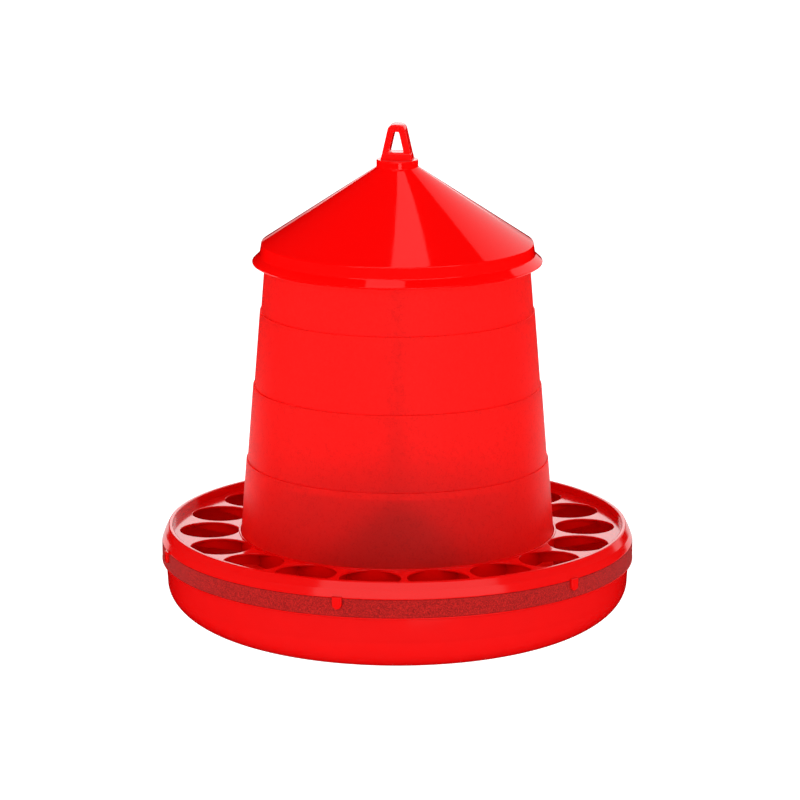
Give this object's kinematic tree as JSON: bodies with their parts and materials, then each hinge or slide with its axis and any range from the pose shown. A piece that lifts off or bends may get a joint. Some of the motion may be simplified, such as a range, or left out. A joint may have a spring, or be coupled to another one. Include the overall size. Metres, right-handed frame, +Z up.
{
  "type": "gravity poultry feeder",
  "caption": "Gravity feeder for poultry: stepped tapering hopper with a conical lid and hanging loop, over a round pan with an anti-waste grille of feeding holes.",
  "frame": {"origin": "on the ground under the centre of the pan", "axes": "+Z up along the central rod, front along -Y, +X to the right, the hanging loop's opening looks along Y"},
  "size_m": [0.4204, 0.423, 0.4445],
  "materials": {
    "pan_plastic": "glossy moulded polypropylene, saturated red",
    "band_plastic": "fine-grained frosted red, matt",
    "grille_plastic": "glossy moulded polypropylene, saturated red",
    "cone_plastic": "matt dark red plastic",
    "hopper_plastic": "frosted translucent red, soft fine grain",
    "bridge_plastic": "satin red plastic",
    "lid_plastic": "high-gloss moulded red",
    "hanger_plastic": "glossy moulded red",
    "steel": "zinc-plated steel, satin",
    "rivet_metal": "plain aluminium"
  },
  "bodies": {
    "stand": {"pan": "pan_plastic", "rim_band": "band_plastic", "feed_cone": "cone_plastic", "central_rod": "steel", "lower_washer": "steel", "lower_nut": "steel", "cone_washer": "steel", "cone_nut": "steel", "hanger": "hanger_plastic", "hanger_cross_pin": "steel"},
    "grille": {"grille_ring": "grille_plastic"},
    "hopper": {"hopper_top_section": "hopper_plastic", "hopper_upper_section": "hopper_plastic", "hopper_lower_section": "hopper_plastic", "hopper_bottom_section": "hopper_plastic", "hopper_bridge": "bridge_plastic", "bridge_rivets": "rivet_metal"},
    "height_pin": {"height_pin": "steel", "height_pin_ring": "steel"},
    "lid": {"lid": "lid_plastic"}
  },
  "joints": [
    {"name": "lid_lift", "type": "slide", "parent": "hopper", "child": "lid", "axis": [0, 0, 1], "range_m": [0, 0.15]},
    {"name": "hopper_height", "type": "slide", "parent": "stand", "child": "hopper", "axis": [0, 0, 1], "range_m": [0, 0.018]},
    {"name": "grille_lift", "type": "slide", "parent": "stand", "child": "grille", "axis": [0, 0, 1], "range_m": [0, 0.4]},
    {"name": "height_pin_pull", "type": "slide", "parent": "stand", "child": "height_pin", "axis": [1, 0, 0], "range_m": [0, 0.03]}
  ]
}
